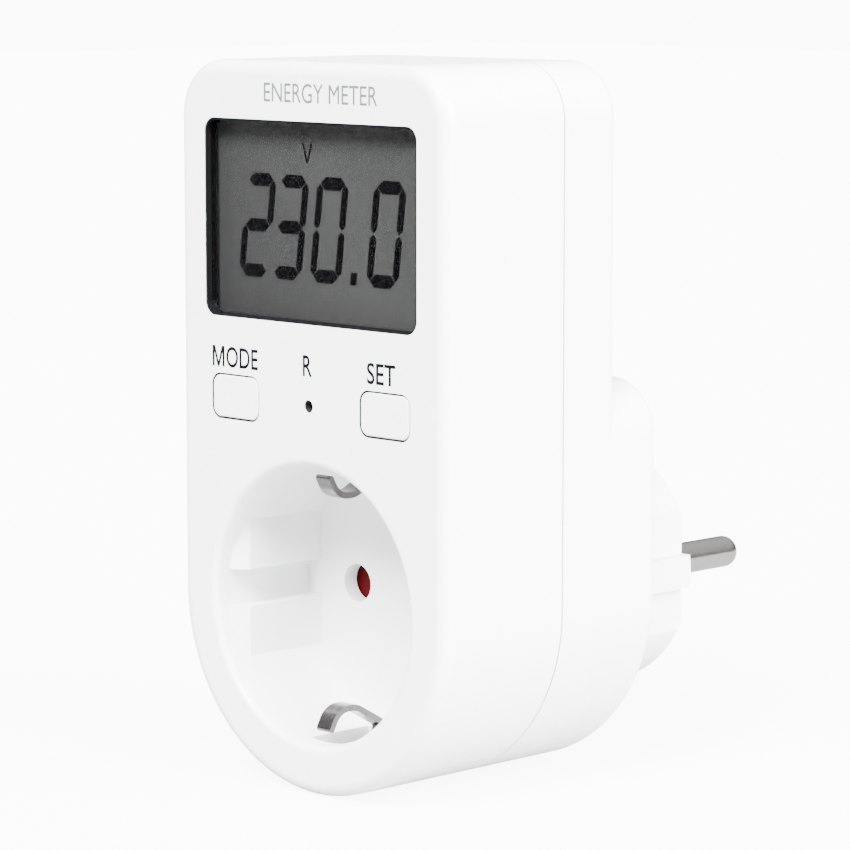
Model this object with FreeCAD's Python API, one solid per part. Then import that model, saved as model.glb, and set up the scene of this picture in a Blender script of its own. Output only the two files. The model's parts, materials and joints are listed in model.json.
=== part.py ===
import FreeCAD, Part
import math
import os

Vector = FreeCAD.Vector

# A plug-in energy meter for a 16 A socket with side earth contacts, in millimetres.
# The origin is the centre of the plug face, where the plug axis leaves it.
# +Y points into the wall socket, so the front face looks along -Y. +Z is up.

# Plug and socket sizes, which the standard for this plug fixes
PIN_RADIUS = 2.4
PIN_LENGTH = 19.0
PIN_OFFSET = 9.5
PIN_TIP_FILLET = 2.1
PIN_ROOT_RADIUS = 2.2
PIN_SHOULDER_DEPTH = 0.1
PLUG_RADIUS = 18.5
WELL_RADIUS = 20.0
WELL_DEPTH = 18.5
PIN_HOLE_RADIUS = 2.8

# Play between a pin, screw or pivot and its hole, and a length that counts as none
SNUG = 0.02
TINY = 0.01

# Case
CASE_HALF_WIDTH = 27.25
CASE_TOP = 76.5
CASE_CORNER = 8.0
BASE_TOP = 31.0
WALL = 2.0
FACE_FILLET = 2.0
REAR_FILLET = 1.5
PLUG_LENGTH = 18.0
BASE_STEP = 9.0
REAR_DEPTH = 11.0
FRONT_DEPTH = 23.0
BASE_BACK_Y = -PLUG_LENGTH
BACK_Y = BASE_BACK_Y - BASE_STEP
SEAM_Y = BACK_Y - REAR_DEPTH
FRONT_Y = SEAM_Y - FRONT_DEPTH
INSIDE_FRONT_Y = FRONT_Y + WALL
SEAM_GAP = 0.25
SEAM_GAP_DEPTH = 0.5
LIP_CLEARANCE = 0.1
LIP_THICKNESS = 1.0
LIP_LENGTH = 2.0
LIP_ROOT = 0.5

# Plug body
PLUG_FLAT = 16.1
PLUG_RIB_HALF = 2.4
PLUG_RIB_REACH = 18.3
PLUG_FLANGE_RADIUS = 21.0
PLUG_CAVITY_RADIUS = 13.6
PLUG_FACE_THICKNESS = 3.0
PLUG_FACE_FILLET = 1.0
PLUG_SEAT_PLAY = 0.05
PIN_SLEEVE_RADIUS = 4.5
PIN_ROOT_Y = -25.0
EARTH_STRIP_WIDTH = 6.0
EARTH_STRIP_THICKNESS = 1.0
EARTH_GROOVE_FLOOR = 16.3
EARTH_GROOVE_PLAY = 0.3
EARTH_PASSAGE = 1.2
HOOK_Y = -2.0
HOOK_SLOT_HALF = 0.6
HOOK_SLOT_DEPTH = 2.0
HOOK_DEPTH = 1.2

# Socket well
WELL_WALL = 2.0
WELL_FLANGE_RADIUS = 24.2
WELL_FLANGE_THICKNESS = 1.4
WELL_FLOOR_Y = FRONT_Y + WELL_DEPTH
WELL_FLOOR_THICKNESS = 2.5
WELL_BACK_Y = WELL_FLOOR_Y + WELL_FLOOR_THICKNESS
WELL_FLAT = 17.3
WELL_FLAT_LEAD = 1.9
WELL_FLAT_Y = FRONT_Y + 4.4
WELL_GROOVE_HALF = 2.7
WELL_FLAT_ROOT = 0.5
WELL_MOUTH_FILLET = 1.0
CLIP_SLOT_HALF = 3.2
CLIP_SLOT_Y = (FRONT_Y + 3.3, FRONT_Y + 14.7)
CLIP_SLOT_DEPTH = 2.0

# Earth clips and the bridge that joins them
CLIP_WIDTH = 2.8
CLIP_THICKNESS = 0.9
CLIP_ROOT_Y = FRONT_Y + 14.05
CLIP_ROOT_Z = 21.6
BRIDGE_Z = 22.85
BRIDGE_Y = PIN_ROOT_Y + CLIP_THICKNESS / 2
BRIDGE_BEND = 1.2

# Child-protection shutter
SHUTTER_RADIUS = 13.2
SHUTTER_THICKNESS = 1.6
SHUTTER_Y = WELL_BACK_Y + 0.3
SHUTTER_TURN = 40.0
SHUTTER_HOLE_RADIUS = 3.1
PIVOT_RADIUS = 1.5
PIVOT_CLEARANCE = 0.06
BOSS_RADIUS = 3.0
BOSS_HEIGHT = 0.9
STOP_RADIUS = 1.0
STOP_ORBIT = 12.4
COVER_RADIUS = 15.4
COVER_Y = WELL_BACK_Y + 3.4
COVER_THICKNESS = 1.2
COVER_RIM = 1.2

# Live contacts
CARRIER_FRONT_Y = COVER_Y + COVER_THICKNESS
CARRIER_HALF_WIDTH = 15.0
CARRIER_HALF_HEIGHT = 6.0
CONTACT_FRONT_Y = CARRIER_FRONT_Y + 0.2
CONTACT_OUTER = 3.2
CONTACT_INNER = 2.3
CONTACT_PLATE = 8.0
CONTACT_PLATE_THICKNESS = 1.0
CONTACT_PLAY = 0.1
CONTACT_SLOT_HALF = 0.4
LEFT_PLATE_Y = PIN_ROOT_Y - 1.0
RIGHT_PLATE_Y = PIN_ROOT_Y - 3.0
LEAD_RADIUS = 0.9
LEAD_BEND = 3.5
LEAD_TOP_Z = 26.5
SHUNT_THICKNESS = 0.8
SHUNT_WIDTH = 4.0

# Window and display
WINDOW_WIDTH = 43.2
WINDOW_HEIGHT = 28.3
WINDOW_Z = 54.1
WINDOW_CORNER = 2.0
WINDOW_FRONT_Y = FRONT_Y + 1.0
WINDOW_FLANGE = 0.9
WINDOW_FLANGE_THICKNESS = 0.6
GASKET_THICKNESS = 0.3
GASKET_FRONT_Y = FRONT_Y + 0.1
PANEL_WIDTH = 45.0
PANEL_HEIGHT = 29.6
PANEL_FRONT_Y = INSIDE_FRONT_Y + WINDOW_FLANGE_THICKNESS + 0.1
PANEL_THICKNESS = 2.8
FRAME_GAP = 0.05
FRAME_SIDE = 2.2
FRAME_FOOT = 1.6
FRAME_HEAD = 0.6
BOARD_THICKNESS = 1.6
RUBBER_WIDTH = 2.0
RUBBER_INSET = 1.3
RUBBER_HALF_LENGTH = 20.0
DISPLAY_BOARD_Y = FRONT_Y + 9.0
DISPLAY_BOARD_BACK_Y = DISPLAY_BOARD_Y + BOARD_THICKNESS
DISPLAY_SCREW_X = 23.65
DISPLAY_POST_Z = 34.5
DISPLAY_SCREWS = [
    (side * DISPLAY_SCREW_X, z) for side in (-1, 1) for z in (DISPLAY_POST_Z, 42.0, 66.0)
]

# Keys and switches
KEY_X = 15.3
KEY_Z = 28.45
KEY_WIDTH = 9.6
KEY_HEIGHT = 6.1
KEY_CORNER = 1.5
KEY_GAP = 0.25
KEY_EDGE_FILLET = 0.3
KEY_FLANGE = 1.0
KEY_FLANGE_THICKNESS = 0.8
KEY_STROKE_ROOM = 0.3
KEY_STEM_RADIUS = 1.5
KEY_STEM_GAP = 0.1
RESET_HOLE_RADIUS = 0.9
PLUNGER_RADIUS = 1.6
PLUNGER_FRONT_Y = FRONT_Y + 4.0
SWITCH_SIZE = 6.0
SWITCH_FRONT_Y = FRONT_Y + 5.5
SWITCH_WELL_DEPTH = 2.4
PLUNGER_DEPTH = 1.3

# Power board and fasteners
POWER_BOARD_Y = BACK_Y - 6.5
POWER_BOARD_BACK_Y = POWER_BOARD_Y + BOARD_THICKNESS
POWER_SCREWS = [(side * 20.0, z) for side in (-1, 1) for z in (33.0, 62.0)]
CASE_SCREWS = [(0.0, 72.2), (-22.5, 15.0), (22.5, 15.0)]
CASE_COLUMN_RADIUS = 2.4
CASE_SLEEVE_RADIUS = 3.1
CASE_HEAD_RADIUS = 2.4
CASE_HEAD_Y = BACK_Y - 5.0
CASE_HEAD_HEIGHT = 1.6
CASE_HEAD_PLAY = 0.2
CASE_SCREW_RADIUS = 1.3
CASE_SCREW_LENGTH = 12.0
CASE_SCREW_PASSAGE = 1.6
CASE_PILOT_DEPTH = 8.0
DISPLAY_POST_RADIUS = 1.5
DISPLAY_HEAD_RADIUS = 1.4
DISPLAY_HEAD_HEIGHT = 1.0
DISPLAY_SCREW_RADIUS = 0.7
DISPLAY_SCREW_LENGTH = 5.0
DISPLAY_PILOT_DEPTH = 4.0
DISPLAY_SCREW_PASSAGE = 0.8
POWER_POST_RADIUS = 2.2
POWER_HEAD_RADIUS = 1.9
POWER_HEAD_HEIGHT = 1.1
POWER_SCREW_RADIUS = 0.95
POWER_SCREW_LENGTH = 4.0
POWER_SCREW_PASSAGE = 1.1


def block(x_low, x_high, y_low, y_high, z_low, z_high):
    corner = Vector(x_low, y_low, z_low)
    return Part.makeBox(x_high - x_low, y_high - y_low, z_high - z_low, corner)


def rod(radius, y_low, y_high, x=0.0, z=0.0):
    return Part.makeCylinder(radius, y_high - y_low, Vector(x, y_low, z), Vector(0, 1, 0))


def tube(outer, inner, y_low, y_high, x=0.0, z=0.0):
    return rod(outer, y_low, y_high, x, z).cut(rod(inner, y_low, y_high, x, z))


def cross_rod(radius, length, x, y, z):
    """A rod along X, centred at the point given."""
    return Part.makeCylinder(radius, length, Vector(x - length / 2, y, z), Vector(1, 0, 0))


def rounded_block(width, height, corner, y_low, y_high, x, z):
    """A block seen from the front as a rectangle with rounded corners."""
    solid = block(x - width / 2, x + width / 2, y_low, y_high, z - height / 2, z + height / 2)
    long_edges = [edge for edge in solid.Edges if edge.BoundBox.YLength > y_high - y_low - TINY]
    return solid.makeFillet(corner, long_edges)


def edges_at(solid, y):
    return [
        edge
        for edge in solid.Edges
        if edge.BoundBox.YMin > y - TINY and edge.BoundBox.YMax < y + TINY
    ]


def case_slab(inset, top, y_low, y_high):
    """The case's outline, made smaller by inset: a half circle about the plug axis,
    straight sides and two rounded top corners."""
    half = CASE_HALF_WIDTH - inset
    corner = CASE_CORNER - inset
    high = top - inset
    shoulder = high - corner
    inner = half - corner
    reach = corner * math.sqrt(0.5)
    edges = [
        Part.Arc(Vector(-half, 0, 0), Vector(0, 0, -half), Vector(half, 0, 0)),
        Part.LineSegment(Vector(half, 0, 0), Vector(half, 0, shoulder)),
        Part.Arc(
            Vector(half, 0, shoulder),
            Vector(inner + reach, 0, shoulder + reach),
            Vector(inner, 0, high),
        ),
        Part.LineSegment(Vector(inner, 0, high), Vector(-inner, 0, high)),
        Part.Arc(
            Vector(-inner, 0, high),
            Vector(-inner - reach, 0, shoulder + reach),
            Vector(-half, 0, shoulder),
        ),
        Part.LineSegment(Vector(-half, 0, shoulder), Vector(-half, 0, 0)),
    ]
    face = Part.Face(Part.Wire([edge.toShape() for edge in edges]))
    face.translate(Vector(0, y_low, 0))
    return face.extrude(Vector(0, y_high - y_low, 0))


def rounded_path(points, radii):
    """Straight runs joined by tangent arcs, with one radius for each inner point."""
    corners = [Vector(*point) for point in points]
    edges = []
    start = corners[0]
    for before, corner, after, radius in zip(corners, corners[1:], corners[2:], radii):
        back = (before - corner).normalize()
        ahead = (after - corner).normalize()
        half_angle = back.getAngle(ahead) / 2
        reach = radius / math.tan(half_angle)
        middle_reach = radius / math.sin(half_angle) - radius
        arc_start = corner + back * reach
        arc_end = corner + ahead * reach
        arc_middle = corner + (back + ahead).normalize() * middle_reach
        edges.append(Part.LineSegment(start, arc_start).toShape())
        edges.append(Part.Arc(arc_start, arc_middle, arc_end).toShape())
        start = arc_end
    edges.append(Part.LineSegment(start, corners[-1]).toShape())
    return Part.Wire(edges)


def strip(points, radii, thickness, width, x=0.0):
    """Sheet metal bent along a path of (y, z) points, with its edges on both sides of x."""
    path = rounded_path([(x - width / 2, y, z) for y, z in points], radii)
    outline = path.makeOffset2D(thickness / 2, 0, False, False)
    return Part.Face(outline).extrude(Vector(width, 0, 0))


def lead(points):
    """An insulated wire, with every bend at the same radius."""
    path = rounded_path(points, [LEAD_BEND] * (len(points) - 2))
    first, second = Vector(*points[0]), Vector(*points[1])
    ring = Part.Wire([Part.makeCircle(LEAD_RADIUS, first, second - first)])
    return path.makePipeShell([ring], True, True)


def display_pilot(x, z):
    """The hole that a display board screw cuts its thread in."""
    low = DISPLAY_BOARD_Y - DISPLAY_PILOT_DEPTH
    return rod(DISPLAY_SCREW_RADIUS + SNUG, low, DISPLAY_BOARD_Y, x, z)


def front_shell():
    shell = case_slab(0, CASE_TOP, FRONT_Y, SEAM_Y)
    shell = shell.makeFillet(FACE_FILLET, edges_at(shell, FRONT_Y))
    shell = shell.cut(case_slab(WALL, CASE_TOP, INSIDE_FRONT_Y, SEAM_Y))
    for x, z in CASE_SCREWS:
        column = rod(CASE_COLUMN_RADIUS, INSIDE_FRONT_Y, SEAM_Y, x, z)
        pilot = rod(CASE_SCREW_RADIUS + SNUG, SEAM_Y - CASE_PILOT_DEPTH, SEAM_Y, x, z)
        shell = shell.fuse(column).cut(pilot)
    for side in (-1, 1):
        post_x = side * DISPLAY_SCREW_X
        post = rod(DISPLAY_POST_RADIUS, INSIDE_FRONT_Y, DISPLAY_BOARD_Y, post_x, DISPLAY_POST_Z)
        shell = shell.fuse(post).cut(display_pilot(post_x, DISPLAY_POST_Z))
        key_hole = rounded_block(
            KEY_WIDTH + 2 * KEY_GAP,
            KEY_HEIGHT + 2 * KEY_GAP,
            KEY_CORNER + KEY_GAP,
            FRONT_Y,
            INSIDE_FRONT_Y,
            side * KEY_X,
            KEY_Z,
        )
        shell = shell.cut(key_hole)
    window_hole = rounded_block(
        WINDOW_WIDTH, WINDOW_HEIGHT, WINDOW_CORNER, FRONT_Y, INSIDE_FRONT_Y, 0, WINDOW_Z
    )
    shell = shell.cut(window_hole)
    shell = shell.cut(rod(RESET_HOLE_RADIUS, FRONT_Y, INSIDE_FRONT_Y, 0, KEY_Z))
    shell = shell.cut(rod(WELL_RADIUS, FRONT_Y, INSIDE_FRONT_Y))
    mouth = [
        edge
        for edge in edges_at(shell, FRONT_Y)
        if abs(edge.BoundBox.XMax - WELL_RADIUS) < 1 and abs(edge.BoundBox.ZMin + WELL_RADIUS) < 1
    ]
    return shell.makeFillet(WELL_MOUTH_FILLET, mouth)


def well_flat(side):
    """A flat on the well's side wall, with a lead-in at its mouth and a groove along its middle."""
    near = WELL_FLAT * side
    far = (WELL_RADIUS + WELL_FLAT_ROOT) * side
    lead_in = (WELL_FLAT + WELL_FLAT_LEAD) * side
    corners = [
        Vector(near, WELL_FLOOR_Y, -WELL_RADIUS),
        Vector(near, WELL_FLAT_Y, -WELL_RADIUS),
        Vector(lead_in, WELL_FLAT_Y - WELL_FLAT_LEAD, -WELL_RADIUS),
        Vector(far, WELL_FLAT_Y - WELL_FLAT_LEAD, -WELL_RADIUS),
        Vector(far, WELL_FLOOR_Y, -WELL_RADIUS),
    ]
    outline = Part.Face(Part.makePolygon(corners + corners[:1]))
    flat = outline.extrude(Vector(0, 0, 2 * WELL_RADIUS))
    flat = flat.common(rod(WELL_RADIUS + WELL_FLAT_ROOT, INSIDE_FRONT_Y, WELL_FLOOR_Y))
    low, high = sorted((near, far))
    groove = block(
        low, high, FRONT_Y, WELL_FLOOR_Y, -WELL_GROOVE_HALF, WELL_GROOVE_HALF
    )
    return flat.cut(groove)


def socket_well():
    outer = WELL_RADIUS + WELL_WALL
    well = tube(outer, WELL_RADIUS, INSIDE_FRONT_Y, WELL_FLOOR_Y)
    flange_back = INSIDE_FRONT_Y + WELL_FLANGE_THICKNESS
    well = well.fuse(tube(WELL_FLANGE_RADIUS, WELL_RADIUS, INSIDE_FRONT_Y, flange_back))
    well = well.fuse(rod(outer, WELL_FLOOR_Y, WELL_BACK_Y))
    for side in (-1, 1):
        well = well.fuse(well_flat(side))
    for side in (-1, 1):
        hole = rod(PIN_HOLE_RADIUS, WELL_FLOOR_Y, WELL_BACK_Y, side * PIN_OFFSET)
        slot_inner = WELL_RADIUS - CLIP_SLOT_DEPTH
        slot_low, slot_high = sorted((side * slot_inner, side * (WELL_FLANGE_RADIUS + 1)))
        slot = block(-CLIP_SLOT_HALF, CLIP_SLOT_HALF, *CLIP_SLOT_Y, slot_low, slot_high)
        well = well.cut(hole).cut(slot)
    well = well.fuse(rod(PIVOT_RADIUS, WELL_BACK_Y, COVER_Y + COVER_THICKNESS / 2))
    stop_back = SHUTTER_Y + SHUTTER_THICKNESS
    return well.fuse(rod(STOP_RADIUS, WELL_BACK_Y, stop_back, 0, STOP_ORBIT)).removeSplitter()


def rear_shell():
    upper = case_slab(0, CASE_TOP, SEAM_Y, BACK_Y)
    upper = upper.makeFillet(REAR_FILLET, edges_at(upper, BACK_Y))
    base = case_slab(0, BASE_TOP, SEAM_Y, BASE_BACK_Y)
    base = base.makeFillet(REAR_FILLET, edges_at(base, BASE_BACK_Y))
    shell = upper.fuse(base)
    shell = shell.cut(case_slab(WALL, CASE_TOP, SEAM_Y, BACK_Y - WALL))
    shell = shell.cut(case_slab(WALL, BASE_TOP, SEAM_Y, BASE_BACK_Y - WALL))
    reveal = case_slab(0, CASE_TOP, SEAM_Y, SEAM_Y + SEAM_GAP)
    reveal = reveal.cut(case_slab(SEAM_GAP_DEPTH, CASE_TOP, SEAM_Y, SEAM_Y + SEAM_GAP))
    shell = shell.cut(reveal)
    lip_inset = WALL + LIP_CLEARANCE
    lip = case_slab(lip_inset, CASE_TOP, SEAM_Y - LIP_LENGTH, SEAM_Y + LIP_LENGTH)
    lip = lip.cut(
        case_slab(lip_inset + LIP_THICKNESS, CASE_TOP, SEAM_Y - LIP_LENGTH, SEAM_Y + LIP_LENGTH)
    )
    root = case_slab(WALL - LIP_ROOT, CASE_TOP, SEAM_Y + SEAM_GAP, SEAM_Y + LIP_LENGTH)
    root = root.cut(
        case_slab(lip_inset + LIP_THICKNESS, CASE_TOP, SEAM_Y + SEAM_GAP, SEAM_Y + LIP_LENGTH)
    )
    for x, z in CASE_SCREWS:
        lip = lip.cut(rod(CASE_COLUMN_RADIUS + 0.3, SEAM_Y - LIP_LENGTH, SEAM_Y, x, z))
    shell = shell.fuse(lip).fuse(root)
    for x, z in CASE_SCREWS:
        back = BACK_Y if z > BASE_TOP else BASE_BACK_Y
        sleeve = rod(CASE_SLEEVE_RADIUS, SEAM_Y, back - WALL, x, z)
        head_room = rod(CASE_HEAD_RADIUS + CASE_HEAD_PLAY, CASE_HEAD_Y, back, x, z)
        passage = rod(CASE_SCREW_PASSAGE, SEAM_Y, CASE_HEAD_Y, x, z)
        shell = shell.fuse(sleeve).cut(head_room).cut(passage)
    for x, z in POWER_SCREWS:
        post = rod(POWER_POST_RADIUS, POWER_BOARD_BACK_Y, BACK_Y - WALL / 2, x, z)
        pilot_end = BACK_Y - WALL - 0.3
        pilot = rod(POWER_SCREW_RADIUS + SNUG, POWER_BOARD_BACK_Y, pilot_end, x, z)
        shell = shell.fuse(post).cut(pilot)
    shell = shell.cut(rod(PLUG_RADIUS + PLUG_SEAT_PLAY, BASE_BACK_Y - WALL, BASE_BACK_Y))
    return shell.removeSplitter()


def plug_body():
    inside_y = BASE_BACK_Y - WALL
    body = rod(PLUG_RADIUS, inside_y, 0)
    body = body.makeFillet(PLUG_FACE_FILLET, edges_at(body, 0))
    for side in (-1, 1):
        for half in (-1, 1):
            x_low, x_high = sorted((side * PLUG_FLAT, side * (PLUG_RADIUS + 1)))
            z_low, z_high = sorted((half * PLUG_RIB_HALF, half * PLUG_RADIUS))
            body = body.cut(block(x_low, x_high, BASE_BACK_Y, 0, z_low, z_high))
        rib_low, rib_high = sorted((side * PLUG_RIB_REACH, side * (PLUG_RADIUS + 1)))
        body = body.cut(
            block(rib_low, rib_high, BASE_BACK_Y, 0, -PLUG_RIB_HALF, PLUG_RIB_HALF)
        )
    body = body.fuse(rod(PLUG_FLANGE_RADIUS, inside_y - WALL, inside_y))
    body = body.cut(rod(PLUG_CAVITY_RADIUS, inside_y - WALL, -PLUG_FACE_THICKNESS))
    groove_half = EARTH_STRIP_WIDTH / 2 + EARTH_GROOVE_PLAY
    for side in (-1, 1):
        sleeve_x = side * PIN_OFFSET
        body = body.fuse(rod(PIN_SLEEVE_RADIUS, inside_y - WALL, -PLUG_FACE_THICKNESS, sleeve_x))
        body = body.cut(rod(PIN_ROOT_RADIUS + SNUG, inside_y - WALL, 0, sleeve_x))
        body = body.cut(rod(PIN_RADIUS + SNUG, -PIN_SHOULDER_DEPTH, 0, sleeve_x))
        low, high = sorted((side * EARTH_GROOVE_FLOOR, side * (PLUG_RADIUS + 1)))
        body = body.cut(block(-groove_half, groove_half, inside_y, 0, low, high))
        passage_reach = EARTH_GROOVE_FLOOR + EARTH_PASSAGE
        low, high = sorted((side * EARTH_GROOVE_FLOOR, side * passage_reach))
        body = body.cut(block(-groove_half, groove_half, inside_y - WALL, 0, low, high))
        slot_floor = EARTH_GROOVE_FLOOR - HOOK_SLOT_DEPTH
        low, high = sorted((side * slot_floor, side * EARTH_GROOVE_FLOOR))
        hook_low, hook_high = HOOK_Y - HOOK_SLOT_HALF, HOOK_Y + HOOK_SLOT_HALF
        body = body.cut(block(-groove_half, groove_half, hook_low, hook_high, low, high))
    return body.removeSplitter()


def live_pin(side):
    """A pin with a thinner root, so that a shoulder rests just under the plug's face."""
    x = side * PIN_OFFSET
    pin = rod(PIN_RADIUS, -PIN_SHOULDER_DEPTH, PIN_LENGTH, x)
    pin = pin.makeFillet(PIN_TIP_FILLET, edges_at(pin, PIN_LENGTH))
    return pin.fuse(rod(PIN_ROOT_RADIUS, PIN_ROOT_Y, -PIN_SHOULDER_DEPTH, x))


def plug_earth_strip(side):
    bend = 0.6
    middle = side * (EARTH_GROOVE_FLOOR + 0.05 + EARTH_STRIP_THICKNESS / 2)
    hook = side * (EARTH_GROOVE_FLOOR - HOOK_DEPTH)
    path = [(BRIDGE_Y + 1.0, middle), (HOOK_Y, middle), (HOOK_Y, hook)]
    return strip(path, [bend], EARTH_STRIP_THICKNESS, EARTH_STRIP_WIDTH)


def earth_clip(side):
    """A leaf that leans into the well, curls away at its mouth and leaves through the wall."""
    leaf = [(3.1, 18.0), (4.5, 15.35), (7.9, 15.35), (14.05, 18.9), (14.05, CLIP_ROOT_Z)]
    bends = [3.0, 3.5, 1.0]
    path = [(FRONT_Y + depth, side * height) for depth, height in leaf]
    return strip(path, bends, CLIP_THICKNESS, CLIP_WIDTH)


def earth_bridge():
    path = [
        (CLIP_ROOT_Y, BRIDGE_Z),
        (BRIDGE_Y, BRIDGE_Z),
        (BRIDGE_Y, -BRIDGE_Z),
        (CLIP_ROOT_Y, -BRIDGE_Z),
    ]
    return strip(path, [BRIDGE_BEND, BRIDGE_BEND], CLIP_THICKNESS, EARTH_STRIP_WIDTH)


def shutter_disc():
    """The shutter's two holes meet the well's pin holes when it has turned by SHUTTER_TURN."""
    back = SHUTTER_Y + SHUTTER_THICKNESS
    boss_back = back + BOSS_HEIGHT
    disc = rod(SHUTTER_RADIUS, SHUTTER_Y, back).fuse(rod(BOSS_RADIUS, back, boss_back))
    for start in (0, 180):
        angle = math.radians(start + SHUTTER_TURN)
        hole_x = PIN_OFFSET * math.cos(angle)
        hole_z = PIN_OFFSET * math.sin(angle)
        disc = disc.cut(rod(SHUTTER_HOLE_RADIUS, SHUTTER_Y, back, hole_x, hole_z))
    stop_play = 0.15
    margin = math.degrees(math.asin((STOP_RADIUS + stop_play) / STOP_ORBIT))
    far = 2 * SHUTTER_RADIUS
    corners = [Vector(0, SHUTTER_Y, 0)]
    for turn in (-margin, SHUTTER_TURN / 2, SHUTTER_TURN + margin):
        angle = math.radians(90 + turn)
        corners.append(Vector(far * math.cos(angle), SHUTTER_Y, far * math.sin(angle)))
    wedge = Part.Face(Part.makePolygon(corners + corners[:1]))
    stop_notch = wedge.extrude(Vector(0, SHUTTER_THICKNESS, 0))
    stop_notch = stop_notch.cut(rod(STOP_ORBIT - STOP_RADIUS - 0.2, SHUTTER_Y, back))
    disc = disc.cut(stop_notch)
    return disc.cut(rod(PIVOT_RADIUS + PIVOT_CLEARANCE, SHUTTER_Y, boss_back))


def shutter_spring():
    wire_radius = 0.2
    coil_radius = 3.6
    pitch = 0.5
    height = 0.8
    path = Part.makeHelix(pitch, height, coil_radius)
    ring = Part.Wire([Part.makeCircle(wire_radius, Vector(coil_radius, 0, 0), Vector(0, 1, 0))])
    coil = Part.Wire(path.Edges).makePipeShell([ring], True, True)
    coil.rotate(Vector(0, 0, 0), Vector(1, 0, 0), -90)
    coil.translate(Vector(0, SHUTTER_Y + SHUTTER_THICKNESS + 0.4, 0))
    return coil


def shutter_cover():
    cover = rod(COVER_RADIUS, COVER_Y, COVER_Y + COVER_THICKNESS)
    cover = cover.fuse(tube(COVER_RADIUS, COVER_RADIUS - COVER_RIM, WELL_BACK_Y, COVER_Y))
    cover = cover.cut(rod(PIVOT_RADIUS + SNUG, COVER_Y, COVER_Y + COVER_THICKNESS))
    for side in (-1, 1):
        hole = rod(CONTACT_OUTER, COVER_Y, COVER_Y + COVER_THICKNESS, side * PIN_OFFSET)
        cover = cover.cut(hole)
    return cover


def contact_carrier():
    back = RIGHT_PLATE_Y - 0.2
    half_width, half_height = CARRIER_HALF_WIDTH, CARRIER_HALF_HEIGHT
    carrier = block(-half_width, half_width, CARRIER_FRONT_Y, back, -half_height, half_height)
    for side in (-1, 1):
        hole = rod(CONTACT_OUTER + CONTACT_PLAY, CARRIER_FRONT_Y, back, side * PIN_OFFSET)
        carrier = carrier.cut(hole)
    return carrier


def live_contact(side, plate_y):
    """A slotted sleeve that grips a pin, standing on a square plate."""
    x = side * PIN_OFFSET
    sleeve = tube(CONTACT_OUTER, CONTACT_INNER, CONTACT_FRONT_Y, plate_y, x)
    half = CONTACT_PLATE / 2
    slot_half = CONTACT_SLOT_HALF
    slot = block(x - slot_half, x + slot_half, CONTACT_FRONT_Y, plate_y - 1.0, -half, half)
    plate_back = plate_y + CONTACT_PLATE_THICKNESS
    plate = block(x - half, x + half, plate_y, plate_back, -half, half)
    return sleeve.cut(slot).fuse(plate)


def shunt_resistor():
    """A hairpin strip that carries the current from the right contact to the right pin."""
    bend = 0.55
    low, high = -1.5, 10.0
    back = PIN_ROOT_Y - SHUNT_THICKNESS / 2
    front = back - 1.5 * SHUNT_THICKNESS
    path = [(front, low), (front, high), (back, high), (back, low)]
    return strip(path, [bend, bend], SHUNT_THICKNESS, SHUNT_WIDTH, PIN_OFFSET)


def window_gasket():
    """A thin black ring between the case and the window."""
    inner = [size - 2 * GASKET_THICKNESS for size in (WINDOW_WIDTH, WINDOW_HEIGHT)]
    ring = rounded_block(
        WINDOW_WIDTH, WINDOW_HEIGHT, WINDOW_CORNER, GASKET_FRONT_Y, INSIDE_FRONT_Y, 0, WINDOW_Z
    )
    corner = WINDOW_CORNER - GASKET_THICKNESS
    return ring.cut(
        rounded_block(*inner, corner, GASKET_FRONT_Y, INSIDE_FRONT_Y, 0, WINDOW_Z)
    )


def display_window():
    """A clear plate inside the gasket, with a flange behind the case's wall."""
    inner = [size - 2 * GASKET_THICKNESS for size in (WINDOW_WIDTH, WINDOW_HEIGHT)]
    outer = [size + 2 * WINDOW_FLANGE for size in (WINDOW_WIDTH, WINDOW_HEIGHT)]
    corner = WINDOW_CORNER - GASKET_THICKNESS
    plate = rounded_block(*inner, corner, WINDOW_FRONT_Y, INSIDE_FRONT_Y, 0, WINDOW_Z)
    flange_back = INSIDE_FRONT_Y + WINDOW_FLANGE_THICKNESS
    flange = rounded_block(*outer, WINDOW_CORNER, INSIDE_FRONT_Y, flange_back, 0, WINDOW_Z)
    return plate.fuse(flange)


def lcd_panel():
    half = PANEL_WIDTH / 2
    low = WINDOW_Z - PANEL_HEIGHT / 2
    return block(
        -half, half, PANEL_FRONT_Y, PANEL_FRONT_Y + PANEL_THICKNESS, low, low + PANEL_HEIGHT
    )


def lcd_frame():
    half = PANEL_WIDTH / 2 + FRAME_GAP
    low = WINDOW_Z - PANEL_HEIGHT / 2 - FRAME_GAP
    high = WINDOW_Z + PANEL_HEIGHT / 2 + FRAME_GAP
    outer = half + FRAME_SIDE
    frame = block(
        -outer, outer, PANEL_FRONT_Y, DISPLAY_BOARD_Y, low - FRAME_FOOT, high + FRAME_HEAD
    )
    frame = frame.cut(block(-half, half, PANEL_FRONT_Y, DISPLAY_BOARD_Y, low, high))
    for x, z in DISPLAY_SCREWS:
        frame = frame.cut(display_pilot(x, z))
    return frame


def contact_rubber(side):
    """A strip of conducting rubber between the glass and the board."""
    middle = WINDOW_Z + side * (PANEL_HEIGHT / 2 - RUBBER_INSET)
    front = PANEL_FRONT_Y + PANEL_THICKNESS
    half = RUBBER_WIDTH / 2
    return block(
        -RUBBER_HALF_LENGTH, RUBBER_HALF_LENGTH, front, DISPLAY_BOARD_Y, middle - half, middle + half
    )


def display_board():
    half_width = 24.9
    low, high = 23.7, 69.4
    board = block(-half_width, half_width, DISPLAY_BOARD_Y, DISPLAY_BOARD_BACK_Y, low, high)
    for x, z in DISPLAY_SCREWS:
        passage = rod(DISPLAY_SCREW_PASSAGE, DISPLAY_BOARD_Y, DISPLAY_BOARD_BACK_Y, x, z)
        board = board.cut(passage)
    return board


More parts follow.
